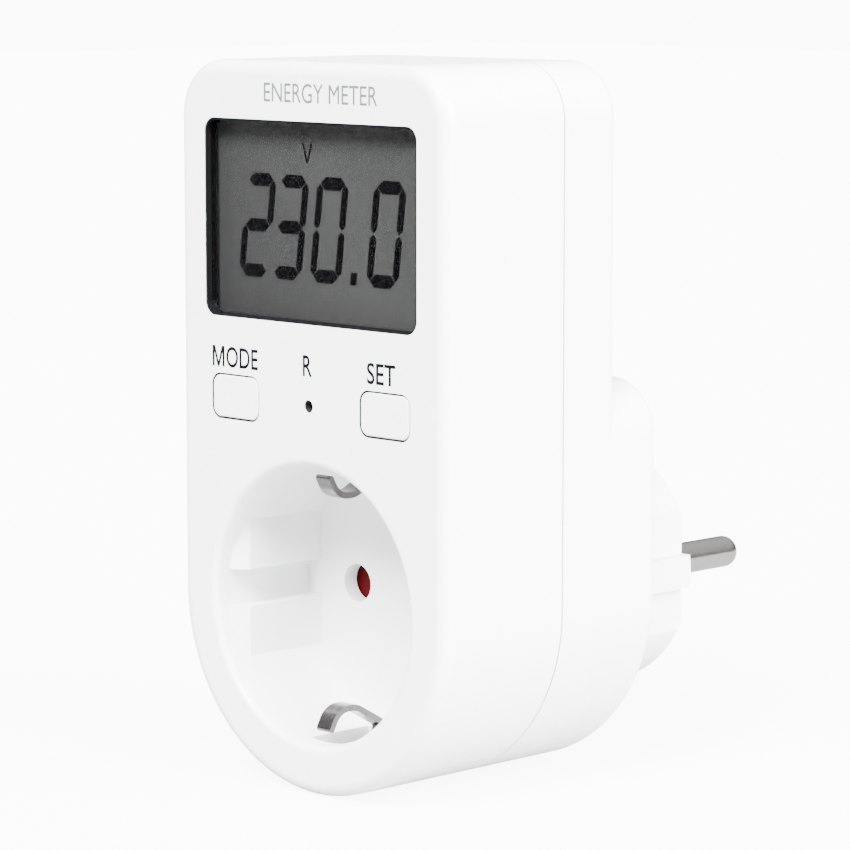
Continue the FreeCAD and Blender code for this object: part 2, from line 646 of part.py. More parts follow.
def controller_chip():
    half, low, height = 5.0, 48.0, 1.6
    leg_middle, leg_half, leg_width, leg_height = 5.6, 0.6, 0.5, 0.4
    leg_low, leg_pitch = 49.2, 1.2
    front = DISPLAY_BOARD_BACK_Y
    chip = block(-half, half, front, front + height, low, low + 2 * half)
    for side in (-1, 1):
        x = side * leg_middle
        for row in range(7):
            z = leg_low + leg_pitch * row
            leg = block(x - leg_half, x + leg_half, front, front + leg_height, z, z + leg_width)
            chip = chip.fuse(leg)
    return chip


def clock_crystal():
    radius, length = 1.0, 6.0
    return cross_rod(radius, length, -8.0, DISPLAY_BOARD_BACK_Y + radius, 62.0)


def backup_battery():
    radius, height, edge_fillet = 5.8, 5.2, 0.5
    back = DISPLAY_BOARD_BACK_Y + height
    cell = rod(radius, DISPLAY_BOARD_BACK_Y, back, 14.0, 58.0)
    return cell.makeFillet(edge_fillet, edges_at(cell, back))


def key(side):
    """A key cap flush with the face, kept in by a flange, with a stem for its switch."""
    x = side * KEY_X
    flange_front = INSIDE_FRONT_Y + KEY_STROKE_ROOM
    flange_back = flange_front + KEY_FLANGE_THICKNESS
    cap = rounded_block(KEY_WIDTH, KEY_HEIGHT, KEY_CORNER, FRONT_Y, flange_back, x, KEY_Z)
    cap = cap.makeFillet(KEY_EDGE_FILLET, edges_at(cap, FRONT_Y))
    width, height = KEY_WIDTH + 2 * KEY_FLANGE, KEY_HEIGHT + 2 * KEY_FLANGE
    flange = rounded_block(width, height, KEY_CORNER, flange_front, flange_back, x, KEY_Z)
    stem = rod(KEY_STEM_RADIUS, flange_back, PLUNGER_FRONT_Y - KEY_STEM_GAP, x, KEY_Z)
    return cap.fuse(flange).fuse(stem)


def switch_body(x):
    half = SWITCH_SIZE / 2
    body = block(x - half, x + half, SWITCH_FRONT_Y, DISPLAY_BOARD_Y, KEY_Z - half, KEY_Z + half)
    well_floor = SWITCH_FRONT_Y + SWITCH_WELL_DEPTH
    return body.cut(rod(PLUNGER_RADIUS + 0.1, SWITCH_FRONT_Y, well_floor, x, KEY_Z))


def switch_plunger(x):
    return rod(PLUNGER_RADIUS, PLUNGER_FRONT_Y, SWITCH_FRONT_Y + PLUNGER_DEPTH, x, KEY_Z)


def power_board():
    half_width = 23.0
    low, high = 24.0, 66.0
    board = block(-half_width, half_width, POWER_BOARD_Y, POWER_BOARD_BACK_Y, low, high)
    for x, z in POWER_SCREWS:
        board = board.cut(rod(POWER_SCREW_PASSAGE, POWER_BOARD_Y, POWER_BOARD_BACK_Y, x, z))
    return board


def film_capacitor():
    width, height, depth, edge_fillet = 18.0, 10.0, 10.0, 0.6
    left, low = -17.0, 42.0
    front = POWER_BOARD_Y - depth
    box = block(left, left + width, front, POWER_BOARD_Y, low, low + height)
    return box.makeFillet(edge_fillet, edges_at(box, front))


def filter_capacitor():
    radius, height, edge_fillet = 5.0, 11.0, 0.6
    front = POWER_BOARD_Y - height
    can = rod(radius, front, POWER_BOARD_Y, 12.0, 47.0)
    return can.makeFillet(edge_fillet, edges_at(can, front))


def varistor():
    radius, thickness, lift = 5.0, 4.0, 0.2
    return cross_rod(radius, thickness, -13.0, POWER_BOARD_Y - radius - lift, 59.0)


def dropper_resistors():
    radius, length, lift = 1.6, 9.0, 0.2
    y = POWER_BOARD_Y - radius - lift
    return Part.makeCompound([cross_rod(radius, length, -3.0, y, z) for z in (56.5, 61.5)])


def rectifier_diodes():
    radius, length, lift = 1.3, 5.0, 0.2
    y = POWER_BOARD_Y - radius - lift
    places = [(x, z) for x in (7.5, 14.5) for z in (57.0, 61.0)]
    return Part.makeCompound([cross_rod(radius, length, x, y, z) for x, z in places])


def rising_lead(x, y):
    """A wire from the top of a contact's plate up to the power board."""
    top = CONTACT_PLATE / 2
    return lead([(x, y, top), (x, y, LEAD_TOP_Z), (x, POWER_BOARD_BACK_Y, LEAD_TOP_Z)])


def live_lead():
    return rising_lead(-PIN_OFFSET, LEFT_PLATE_Y + CONTACT_PLATE_THICKNESS / 2)


def neutral_lead():
    edge_x = PIN_OFFSET + CONTACT_PLATE / 2 - LEAD_RADIUS
    return rising_lead(edge_x, RIGHT_PLATE_Y + 0.8)


def ribbon_cable():
    thickness, width, bend, run = 0.8, 10.0, 2.5, 6.0
    low, high = 28.5, 35.0
    path = [
        (DISPLAY_BOARD_BACK_Y + thickness / 2, low),
        (DISPLAY_BOARD_BACK_Y + run, low),
        (POWER_BOARD_Y - run, high),
        (POWER_BOARD_Y - thickness / 2, high),
    ]
    return strip(path, [bend, bend], thickness, width)


def screw(x, z, head_y, direction, head_radius, head_height, shank_radius, shank_length):
    """A cross-slotted pan-head screw, its head's seat at head_y, its shank along direction."""
    slot_length = 1.2 * head_radius
    slot_width = 0.3 * head_radius
    axis = Vector(0, direction, 0)
    seat = Vector(x, head_y, z)
    head = Part.makeCylinder(head_radius, head_height, seat, -axis)
    head = head.makeFillet(head_height * 0.4, edges_at(head, head_y - direction * head_height))
    recess_bottom = seat - axis * head_height
    for turn in (0, 90):
        blade = Part.makeBox(slot_length, head_height, slot_width)
        blade.translate(Vector(-slot_length / 2, -head_height / 2, -slot_width / 2))
        blade.rotate(Vector(0, 0, 0), Vector(0, 1, 0), turn)
        blade.translate(recess_bottom)
        head = head.cut(blade)
    return head.fuse(Part.makeCylinder(shank_radius, shank_length, seat, axis))


def case_screws():
    head = (CASE_HEAD_RADIUS, CASE_HEAD_HEIGHT)
    shank = (CASE_SCREW_RADIUS, CASE_SCREW_LENGTH)
    return Part.makeCompound([screw(x, z, CASE_HEAD_Y, -1, *head, *shank) for x, z in CASE_SCREWS])


def display_board_screws():
    head = (DISPLAY_HEAD_RADIUS, DISPLAY_HEAD_HEIGHT)
    shank = (DISPLAY_SCREW_RADIUS, DISPLAY_SCREW_LENGTH)
    y = DISPLAY_BOARD_BACK_Y
    return Part.makeCompound([screw(x, z, y, -1, *head, *shank) for x, z in DISPLAY_SCREWS])


def power_board_screws():
    head = (POWER_HEAD_RADIUS, POWER_HEAD_HEIGHT)
    shank = (POWER_SCREW_RADIUS, POWER_SCREW_LENGTH)
    return Part.makeCompound([screw(x, z, POWER_BOARD_Y, 1, *head, *shank) for x, z in POWER_SCREWS])


PARTS = {
    "front_shell": front_shell(),
    "socket_well": socket_well(),
    "rear_shell": rear_shell(),
    "plug_body": plug_body(),
    "live_pin_left": live_pin(-1),
    "live_pin_right": live_pin(1),
    "plug_earth_strip_top": plug_earth_strip(1),
    "plug_earth_strip_bottom": plug_earth_strip(-1),
    "earth_clip_top": earth_clip(1),
    "earth_clip_bottom": earth_clip(-1),
    "earth_bridge": earth_bridge(),
    "shutter_disc": shutter_disc(),
    "shutter_spring": shutter_spring(),
    "shutter_cover": shutter_cover(),
    "contact_carrier": contact_carrier(),
    "live_contact_left": live_contact(-1, LEFT_PLATE_Y),
    "live_contact_right": live_contact(1, RIGHT_PLATE_Y),
    "shunt_resistor": shunt_resistor(),
    "window_gasket": window_gasket(),
    "display_window": display_window(),
    "lcd_panel": lcd_panel(),
    "lcd_frame": lcd_frame(),
    "contact_rubber_top": contact_rubber(1),
    "contact_rubber_bottom": contact_rubber(-1),
    "display_board": display_board(),
    "controller_chip": controller_chip(),
    "clock_crystal": clock_crystal(),
    "backup_battery": backup_battery(),
    "mode_button": key(-1),
    "set_button": key(1),
    "mode_switch": switch_body(-KEY_X),
    "set_switch": switch_body(KEY_X),
    "reset_switch": switch_body(0),
    "mode_plunger": switch_plunger(-KEY_X),
    "set_plunger": switch_plunger(KEY_X),
    "reset_plunger": switch_plunger(0),
    "power_board": power_board(),
    "film_capacitor": film_capacitor(),
    "filter_capacitor": filter_capacitor(),
    "varistor": varistor(),
    "dropper_resistors": dropper_resistors(),
    "rectifier_diodes": rectifier_diodes(),
    "live_lead": live_lead(),
    "neutral_lead": neutral_lead(),
    "ribbon_cable": ribbon_cable(),
    "case_screws": case_screws(),
    "display_board_screws": display_board_screws(),
    "power_board_screws": power_board_screws(),
}

os.makedirs("parts", exist_ok=True)
for name, shape in PARTS.items():
    shape.exportStep(f"parts/{name}.step")
    state = "valid" if shape.isValid() else "NOT VALID"
    print(f"{name}: {len(shape.Solids)} solids, {shape.Volume:.1f} mm3, {state}")
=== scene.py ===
# %% [markdown]
# # A plug-in energy meter
# This small box goes between a wall socket and an appliance's plug. Its front has a display, two keys, a
# reset pinhole and an earthed socket well, and its back has the plug. The solid parts come from a finished
# frame at their real size and place. This lesson dresses them: it chooses finishes, prints the legends,
# builds the display's figures, and sets up the light and the camera.

# %% Load the frame
import json
import math

import bmesh
import bpy
from mathutils import Matrix, Vector


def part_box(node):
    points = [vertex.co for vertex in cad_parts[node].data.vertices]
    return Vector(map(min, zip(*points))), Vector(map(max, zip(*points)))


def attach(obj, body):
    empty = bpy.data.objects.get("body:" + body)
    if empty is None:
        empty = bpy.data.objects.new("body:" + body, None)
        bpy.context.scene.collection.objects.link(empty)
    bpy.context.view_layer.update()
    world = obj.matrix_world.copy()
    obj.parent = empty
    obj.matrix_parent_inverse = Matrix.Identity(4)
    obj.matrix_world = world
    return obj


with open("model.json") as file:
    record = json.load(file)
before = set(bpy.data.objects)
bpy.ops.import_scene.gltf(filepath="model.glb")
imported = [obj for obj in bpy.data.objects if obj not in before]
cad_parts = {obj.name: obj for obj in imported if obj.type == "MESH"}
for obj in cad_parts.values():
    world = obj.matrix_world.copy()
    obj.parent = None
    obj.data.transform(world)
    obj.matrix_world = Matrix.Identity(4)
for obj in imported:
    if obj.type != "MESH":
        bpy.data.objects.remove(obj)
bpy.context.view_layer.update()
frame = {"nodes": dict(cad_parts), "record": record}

MM = 0.001
nodes = frame["nodes"]
print("pieces in the frame:", len(nodes))

# %% [markdown]
# The surfaces that this lesson prints on are read from the boxes of the solid parts: the case's face is the
# front shell's lowest y, and the display's face is the panel's. The floor is the front shell's lowest z.
# Places across a face are in the frame's own x and z, which are both 0 on the plug's axis.

# %% Places read from the frame
shell_low, shell_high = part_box("front_shell")
mode_low, mode_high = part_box("mode_button")
set_low, set_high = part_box("set_button")
face_y = shell_low.y
floor_z = shell_low.z
panel_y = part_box("lcd_panel")[0].y
print("case, mm:", [round(side / MM, 1) for side in shell_high - shell_low])

# %% [markdown]
# ## The camera
# A long lens from about half a metre keeps the box's edges nearly parallel. The camera stands to the right
# of the meter and a little above it. Its direction is worked out from two angles, and the camera's own axes
# then come from cross products, so no angle has to be converted.

# %% Camera
CAMERA_TURN = math.radians(45.264)
CAMERA_DROP = math.radians(7.389)
CAMERA_DISTANCE = 529.96 * MM
CAMERA_LENS = 155.68
SENSOR_WIDTH = 36.0
CLIP_START = 10 * MM
AIM = Vector((0.0, -41.0, 20.0)) * MM
AIM_SIDEWAYS = 2.12 * MM
AIM_UP = 3.99 * MM

forward = Vector(
    (
        -math.sin(CAMERA_TURN) * math.cos(CAMERA_DROP),
        math.cos(CAMERA_TURN) * math.cos(CAMERA_DROP),
        -math.sin(CAMERA_DROP),
    )
)
sideways = forward.cross(Vector((0, 0, 1))).normalized()
upward = sideways.cross(forward)
camera = bpy.data.objects.new("camera", bpy.data.cameras.new("camera"))
camera.data.lens = CAMERA_LENS
camera.data.sensor_width = SENSOR_WIDTH
camera.data.clip_start = CLIP_START
camera.location = AIM + sideways * AIM_SIDEWAYS + upward * AIM_UP - forward * CAMERA_DISTANCE
camera.rotation_mode = "QUATERNION"
camera.rotation_quaternion = Matrix((sideways, upward, -forward)).transposed().to_quaternion()
bpy.context.scene.collection.objects.link(camera)
bpy.context.scene.camera = camera
print("camera stands at, mm:", [round(value / MM) for value in camera.location])

# %% [markdown]
# ## Floor and light
# White plastic only shows its shape if the light has a direction, so most of it comes from two wide suns.
# The first stands high in front, and shades the upper half of the socket well. The second comes from the
# right and keeps the long side wall bright. The world is dim, so that metal has something dark to reflect,
# but the camera sees it as white. A sun's four numbers are its place round the meter and its height, in
# degrees, its strength, and its width in degrees: a wide sun casts soft shadows.

# %% Floor, world and lights
WHITE = (1.0, 1.0, 1.0, 1.0)
SQUARE = ((-1, -1), (1, -1), (1, 1), (-1, 1))
FLOOR_HALF = 3.0
BACKDROP = 11.0
WORLD_LOW = 0.3
WORLD_HIGH = 1.8
SKY_STARTS = 0.1
SKY_ENDS = 0.8
FRONT_SUN = (20.0, 48.0, 24.0, 28.0)
SIDE_SUN = (97.0, 24.0, 30.0, 50.0)


def sun(name, around, up, strength, width):
    """A sun seen from the meter at around degrees right of the face's front and up degrees high."""
    lamp_data = bpy.data.lights.new(name, "SUN")
    lamp_data.energy = strength
    lamp_data.angle = math.radians(width)
    lamp = bpy.data.objects.new(name, lamp_data)
    around, up = math.radians(around), math.radians(up)
    towards = Vector((math.sin(around) * math.cos(up), -math.cos(around) * math.cos(up), math.sin(up)))
    lamp.location = towards
    lamp.rotation_mode = "QUATERNION"
    lamp.rotation_quaternion = (-towards).to_track_quat("-Z", "Y")
    bpy.context.scene.collection.objects.link(lamp)


def build_world():
    """A sky that is dark at the horizon and lighter overhead, and plain white to the camera.

    It brightens between two heights on a sphere of radius 1, SKY_STARTS and SKY_ENDS.
    """
    world = bpy.data.worlds.new("studio")
    world.use_nodes = True
    tree = world.node_tree
    background = tree.nodes["Background"]
    direction = tree.nodes.new("ShaderNodeTexCoord")
    split = tree.nodes.new("ShaderNodeSeparateXYZ")
    sky = tree.nodes.new("ShaderNodeMapRange")
    sky.interpolation_type = "SMOOTHSTEP"
    sky.inputs["From Min"].default_value = SKY_STARTS
    sky.inputs["From Max"].default_value = SKY_ENDS
    sky.inputs["To Min"].default_value = WORLD_LOW
    sky.inputs["To Max"].default_value = WORLD_HIGH
    ray = tree.nodes.new("ShaderNodeLightPath")
    choose = tree.nodes.new("ShaderNodeMix")
    choose.inputs["B"].default_value = BACKDROP
    tree.links.new(direction.outputs["Generated"], split.inputs["Vector"])
    tree.links.new(split.outputs["Z"], sky.inputs["Value"])
    tree.links.new(ray.outputs["Is Camera Ray"], choose.inputs["Factor"])
    tree.links.new(sky.outputs["Result"], choose.inputs["A"])
    tree.links.new(choose.outputs["Result"], background.inputs["Strength"])
    background.inputs["Color"].default_value = WHITE
    return world


bpy.context.scene.world = build_world()
sun("front sun", *FRONT_SUN)
sun("side sun", *SIDE_SUN)

floor_mesh = bpy.data.meshes.new("floor")
floor_corners = [(x * FLOOR_HALF, y * FLOOR_HALF, floor_z) for x, y in SQUARE]
floor_mesh.from_pydata(floor_corners, [], [(0, 1, 2, 3)])
floor = bpy.data.objects.new("floor", floor_mesh)
bpy.context.scene.collection.objects.link(floor)

# %% [markdown]
# ## Finishes
# Every finish starts from the same shader. One helper sets the numbers that are the same all over, such as
# how metallic the surface is, directly on the shader. Three more add what varies: one noise shifts the
# colour, another shifts the roughness, and a finer one raises a grain. All read Object coordinates in
# metres, so a grain of 0.2 mm is 0.2 mm on every piece.


# %% Helpers for finishes
EVEN = (1.0, 1.0, 1.0)
NOISE_DETAIL = 3.0
ROUGHNESS_FROM = (0.3, 0.7)
COLOR_FROM = (0.35, 0.65)


def shader_of(finish):
    return finish.node_tree.nodes["Principled BSDF"]


def new_finish(name, color, roughness, metallic=0.0, **constants):
    """A material with one shader. constants are the shader's other sockets, with _ for a space."""
    finish = bpy.data.materials.new(name)
    finish.use_nodes = True
    finish.diffuse_color = (*color, 1.0)
    shader = shader_of(finish)
    shader.inputs["Base Color"].default_value = (*color, 1.0)
    shader.inputs["Roughness"].default_value = roughness
    shader.inputs["Metallic"].default_value = metallic
    for socket, value in constants.items():
        shader.inputs[socket.replace("_", " ")].default_value = value
    return finish


def noise(finish, size, stretch=EVEN):
    """A noise whose blotches are about size metres across, longer along an axis with a small stretch."""
    tree = finish.node_tree
    place = tree.nodes.new("ShaderNodeTexCoord")
    mapping = tree.nodes.new("ShaderNodeMapping")
    mapping.inputs["Scale"].default_value = [factor / size for factor in stretch]
    texture = tree.nodes.new("ShaderNodeTexNoise")
    texture.inputs["Scale"].default_value = 1.0
    texture.inputs["Detail"].default_value = NOISE_DETAIL
    tree.links.new(place.outputs["Object"], mapping.inputs["Vector"])
    tree.links.new(mapping.outputs["Vector"], texture.inputs["Vector"])
    return texture.outputs["Fac"]


def vary_roughness(finish, low, high, size, stretch=EVEN):
    """A roughness that drifts between low and high over about size metres."""
    tree = finish.node_tree
    spread = tree.nodes.new("ShaderNodeMapRange")
    spread.inputs["From Min"].default_value, spread.inputs["From Max"].default_value = ROUGHNESS_FROM
    spread.inputs["To Min"].default_value = low
    spread.inputs["To Max"].default_value = high
    tree.links.new(noise(finish, size, stretch), spread.inputs["Value"])
    tree.links.new(spread.outputs["Result"], shader_of(finish).inputs["Roughness"])


def vary_color(finish, first, second, size):
    """A colour that drifts between first and second over about size metres."""
    tree = finish.node_tree
    blend = tree.nodes.new("ShaderNodeValToRGB")
    for element, position, color in zip(blend.color_ramp.elements, COLOR_FROM, (first, second)):
        element.position = position
        element.color = (*color, 1.0)
    tree.links.new(noise(finish, size), blend.inputs["Fac"])
    tree.links.new(blend.outputs["Color"], shader_of(finish).inputs["Base Color"])


def add_grain(finish, size, height, strength, stretch=EVEN):
    """A raised grain: size and height are in metres."""
    tree = finish.node_tree
    bump = tree.nodes.new("ShaderNodeBump")
    bump.inputs["Strength"].default_value = strength
    bump.inputs["Distance"].default_value = height
    tree.links.new(noise(finish, size, stretch), bump.inputs["Height"])
    tree.links.new(bump.outputs["Normal"], shader_of(finish).inputs["Normal"])


# %% [markdown]
# The case, the keys and the well are moulded in the same white plastic. The case has a satin face. The well
# and the plug come from a spark-eroded mould, which leaves a finer, drier grain, so they get a rougher
# finish of their own. Real white plastic lets a little light in, which softens its edges, so each has some
# subsurface light.


# %% White plastics
PLASTIC_IOR = 1.49
MOULDED_GRAIN = 0.6
LIGHT_ENTERS = {"Subsurface_Weight": 0.12, "Subsurface_Scale": 1.0 * MM}
WHITE_DARKENS = 0.985


def white_plastic(name, color, roughness, grain_size, grain_height):
    finish = new_finish(name, color, roughness, IOR=PLASTIC_IOR, **LIGHT_ENTERS)
    darker = [value * WHITE_DARKENS for value in color]
    vary_color(finish, color, darker, size=6 * MM)
    vary_roughness(finish, low=roughness - 0.04, high=roughness + 0.05, size=3 * MM)
    add_grain(finish, grain_size, grain_height, MOULDED_GRAIN)
    return finish


case_white = white_plastic("case white", (0.83, 0.835, 0.83), 0.30, 0.35 * MM, 0.006 * MM)
key_white = white_plastic("key white", (0.82, 0.825, 0.82), 0.26, 0.30 * MM, 0.004 * MM)
well_white = white_plastic("well white", (0.81, 0.81, 0.815), 0.46, 0.16 * MM, 0.02 * MM)

# %% [markdown]
# The metal pieces differ in how they were made. Turned pins have fine rings about their length and a bright
# nickel skin. Stamped strips are brushed along their length. Each is one grain, stretched along the way the
# tool went.


# %% Metals
METAL_GRAIN = 0.5
METAL_GRAIN_HEIGHT = 0.004 * MM
METAL_SMOOTHER = 0.75
METAL_ROUGHER = 1.35


def worked_metal(name, color, roughness, stretch, size=0.12 * MM):
    finish = new_finish(name, color, roughness, metallic=1.0)
    vary_roughness(finish, roughness * METAL_SMOOTHER, roughness * METAL_ROUGHER, size, stretch)
    add_grain(finish, size, METAL_GRAIN_HEIGHT, METAL_GRAIN, stretch)
    return finish


nickel = worked_metal("turned nickel", (0.27, 0.265, 0.26), 0.18, (0.3, 1.0, 0.3))
strip_metal = worked_metal("spring strip", (0.11, 0.108, 0.105), 0.22, (1.0, 0.12, 0.12))
wire_metal = worked_metal("drawn wire", (0.55, 0.55, 0.56), 0.25, (0.3, 0.3, 0.3))
brass = worked_metal("stamped brass", (0.72, 0.53, 0.22), 0.28, (1.0, 0.12, 0.3))
shunt_metal = worked_metal("shunt alloy", (0.52, 0.38, 0.28), 0.35, (1.0, 0.2, 0.12))
can_metal = worked_metal("drawn can", (0.66, 0.67, 0.68), 0.30, (1.0, 0.2, 1.0))
screw_metal = worked_metal("zinc screw", (0.55, 0.56, 0.57), 0.32, (0.5, 0.5, 0.5))

# %% [markdown]
# The other plastics, rubbers and coatings are seen less, or not at all until the case is opened. One helper
# makes them all, from a colour and a roughness. A finish that should be duller or smoother than the rest
# also gives its own gloss or grain.


# %% Other moulded and coated finishes
PLAIN_LIGHTENS = 1.12


def plain_finish(name, color, roughness, grain_size=0.2 * MM, grain_height=0.008 * MM, gloss=0.5):
    finish = new_finish(name, color, roughness, Specular_IOR_Level=gloss)
    lighter = [value * PLAIN_LIGHTENS for value in color]
    vary_color(finish, color, lighter, size=1.5 * MM)
    vary_roughness(finish, low=roughness - 0.05, high=roughness + 0.08, size=1.0 * MM)
    add_grain(finish, grain_size, grain_height, MOULDED_GRAIN)
    return finish


shutter_red = plain_finish("shutter red", (0.045, 0.0003, 0.0012), 0.42, gloss=0.08)
carrier_grey = plain_finish("carrier grey", (0.52, 0.52, 0.50), 0.50)
gasket_black = plain_finish("gasket black", (0.003, 0.003, 0.0035), 0.60, gloss=0.05)
zebra_pink = plain_finish("zebra rubber", (0.60, 0.20, 0.22), 0.60)
chip_black = plain_finish("moulded epoxy", (0.018, 0.018, 0.020), 0.50)
plunger_black = plain_finish("plunger", (0.05, 0.05, 0.05), 0.45)
capacitor_yellow = plain_finish("capacitor box", (0.62, 0.42, 0.05), 0.42)
varistor_blue = plain_finish("varistor coating", (0.04, 0.14, 0.40), 0.35)
resistor_green = plain_finish("resistor paint", (0.18, 0.28, 0.30), 0.40)
wire_brown = plain_finish("brown insulation", (0.16, 0.07, 0.03), 0.40)
wire_blue = plain_finish("blue insulation", (0.03, 0.09, 0.38), 0.40)
ribbon_grey = plain_finish("ribbon", (0.40, 0.40, 0.41), 0.50)

# %% [markdown]
# A circuit board is green lacquer over copper tracks. The tracks are a brick pattern seen from the board's
# flat side: the bricks are bare board, and the joints between them are the slightly lighter tracks.

# %% Circuit board
BRICK_HEIGHT = 5 * MM
TRACK_WIDTH = 0.06
BOARD_COLORS = {
    "Color1": (0.008, 0.10, 0.035, 1.0),
    "Color2": (0.012, 0.13, 0.045, 1.0),
    "Mortar": (0.03, 0.22, 0.08, 1.0),
}

board_green = new_finish("solder resist", (0.01, 0.12, 0.04), 0.32)
board_tree = board_green.node_tree
board_place = board_tree.nodes.new("ShaderNodeTexCoord")
board_turn = board_tree.nodes.new("ShaderNodeMapping")
board_turn.inputs["Rotation"].default_value = (math.radians(90), 0.0, 0.0)
tracks = board_tree.nodes.new("ShaderNodeTexBrick")
tracks.inputs["Scale"].default_value = 1 / BRICK_HEIGHT
tracks.inputs["Mortar Size"].default_value = TRACK_WIDTH
for socket, color in BOARD_COLORS.items():
    tracks.inputs[socket].default_value = color
board_tree.links.new(board_place.outputs["Object"], board_turn.inputs["Vector"])
board_tree.links.new(board_turn.outputs["Vector"], tracks.inputs["Vector"])
board_tree.links.new(tracks.outputs["Color"], shader_of(board_green).inputs["Base Color"])
add_grain(board_green, size=0.3 * MM, height=0.01 * MM, strength=0.5)

# %% [markdown]
# The display is a grey sandwich of glass. Its colour carries a painted reflection: it runs from the glass's
# own dark grey at the top left to lighter at the bottom right, where the gloss of a light would show. The
# window in front of it is clear, and only its gloss shows.

# %% Display glass and window
# Painted reflection: a turned gradient across the display lightens its grey towards the bottom right.
PAINTED_REFLECTION_LENGTH = 52 * MM
PAINTED_REFLECTION_TURN = math.radians(35)
PAINTED_REFLECTION_SHIFT = (0.35, 0.0, 1.75)
GREY_TO_PAINTED_REFLECTION = ((0.0066, 0.0066, 0.0072, 1.0), (0.024, 0.0243, 0.0243, 1.0))

display_grey = new_finish("display glass", (0.010, 0.010, 0.0105), 0.40, Specular_IOR_Level=0.0)
display_tree = display_grey.node_tree
display_place = display_tree.nodes.new("ShaderNodeTexCoord")
painted_reflection_mapping = display_tree.nodes.new("ShaderNodeMapping")
painted_reflection_mapping.inputs["Location"].default_value = PAINTED_REFLECTION_SHIFT
painted_reflection_mapping.inputs["Rotation"].default_value = (0.0, PAINTED_REFLECTION_TURN, 0.0)
painted_reflection_mapping.inputs["Scale"].default_value = (1 / PAINTED_REFLECTION_LENGTH, 1.0, 1 / PAINTED_REFLECTION_LENGTH)
# The gradient and its two colours paint the reflection into the display's base colour.
painted_reflection_slope = display_tree.nodes.new("ShaderNodeTexGradient")
grey_to_reflection_ramp = display_tree.nodes.new("ShaderNodeValToRGB")
for element, color in zip(grey_to_reflection_ramp.color_ramp.elements, GREY_TO_PAINTED_REFLECTION):
    element.color = color
display_tree.links.new(display_place.outputs["Object"], painted_reflection_mapping.inputs["Vector"])
display_tree.links.new(painted_reflection_mapping.outputs["Vector"], painted_reflection_slope.inputs["Vector"])
display_tree.links.new(painted_reflection_slope.outputs["Fac"], grey_to_reflection_ramp.inputs["Fac"])
display_tree.links.new(grey_to_reflection_ramp.outputs["Color"], shader_of(display_grey).inputs["Base Color"])
vary_roughness(display_grey, low=0.36, high=0.44, size=2 * MM)

window_clear = new_finish("clear window", (0.004, 0.004, 0.005), 0.03, Alpha=0.045, IOR=PLASTIC_IOR)
vary_roughness(window_clear, low=0.02, high=0.05, size=20 * MM)

# %% [markdown]
# The floor is grey to the light, so that little comes up from it, and a glow that only the camera sees
# makes it white, as a light table is.

# %% Floor
FLOOR_GLOW = 8.5

floor_white = new_finish("floor white", (0.33, 0.33, 0.33), 0.75, Specular_IOR_Level=0.1)
floor_tree = floor_white.node_tree
floor_ray = floor_tree.nodes.new("ShaderNodeLightPath")
floor_glow = floor_tree.nodes.new("ShaderNodeMath")
floor_glow.operation = "MULTIPLY"
floor_glow.inputs[1].default_value = FLOOR_GLOW
shader_of(floor_white).inputs["Emission Color"].default_value = WHITE
floor_tree.links.new(floor_ray.outputs["Is Camera Ray"], floor_glow.inputs[0])
floor_tree.links.new(floor_glow.outputs["Value"], shader_of(floor_white).inputs["Emission Strength"])
add_grain(floor_white, size=40 * MM, height=0.1 * MM, strength=0.2)
floor.data.materials.append(floor_white)

# %% [markdown]
# The frame's record says which slot every piece belongs to, so one table from slot to finish dresses all of
# them.

# %% Dress the solid pieces
FINISH_OF_SLOT = {
    "white_case": case_white,
    "white_insert": well_white,
    "white_key": key_white,
    "nickel_pin": nickel,
    "earth_metal": strip_metal,
    "red_shutter": shutter_red,
    "spring_wire": wire_metal,
    "grey_carrier": carrier_grey,
    "contact_brass": brass,
    "shunt_alloy": shunt_metal,
    "clear_window": window_clear,
    "display_glass": display_grey,
    "zebra_rubber": zebra_pink,
    "black_gasket": gasket_black,
    "circuit_board": board_green,
    "chip_black": chip_black,
    "can_metal": can_metal,
    "plunger_plastic": plunger_black,
    "capacitor_box": capacitor_yellow,
    "varistor_blue": varistor_blue,
    "resistor_body": resistor_green,
    "live_insulation": wire_brown,
    "neutral_insulation": wire_blue,
    "ribbon_grey": ribbon_grey,
    "screw_steel": screw_metal,
}
for subpart in frame["record"]["subparts"]:
    for material_slot in nodes[subpart["node"]].material_slots:
        material_slot.material = FINISH_OF_SLOT[subpart["material_slot"]]
print("slots dressed:", len(FINISH_OF_SLOT))

# %% [markdown]
# ## What repeats: one Geometry Nodes tree
# The display's figures are made of the same bar, laid many times, and the boards' solder joints are the
# same drop, laid many times. One tree does both. It stands a pattern piece on every point of a mesh, makes
# the copies real, leans them to the right as they rise, and gives them a material. The lean is a named
# input, so the figures slant and the solder joints don't.

# %% The tree that lays copies
COPIES_INPUTS = (
    ("Pattern", "NodeSocketObject"),
    ("Lean", "NodeSocketFloat"),
    ("Lean From", "NodeSocketFloat"),
    ("Finish", "NodeSocketMaterial"),
)


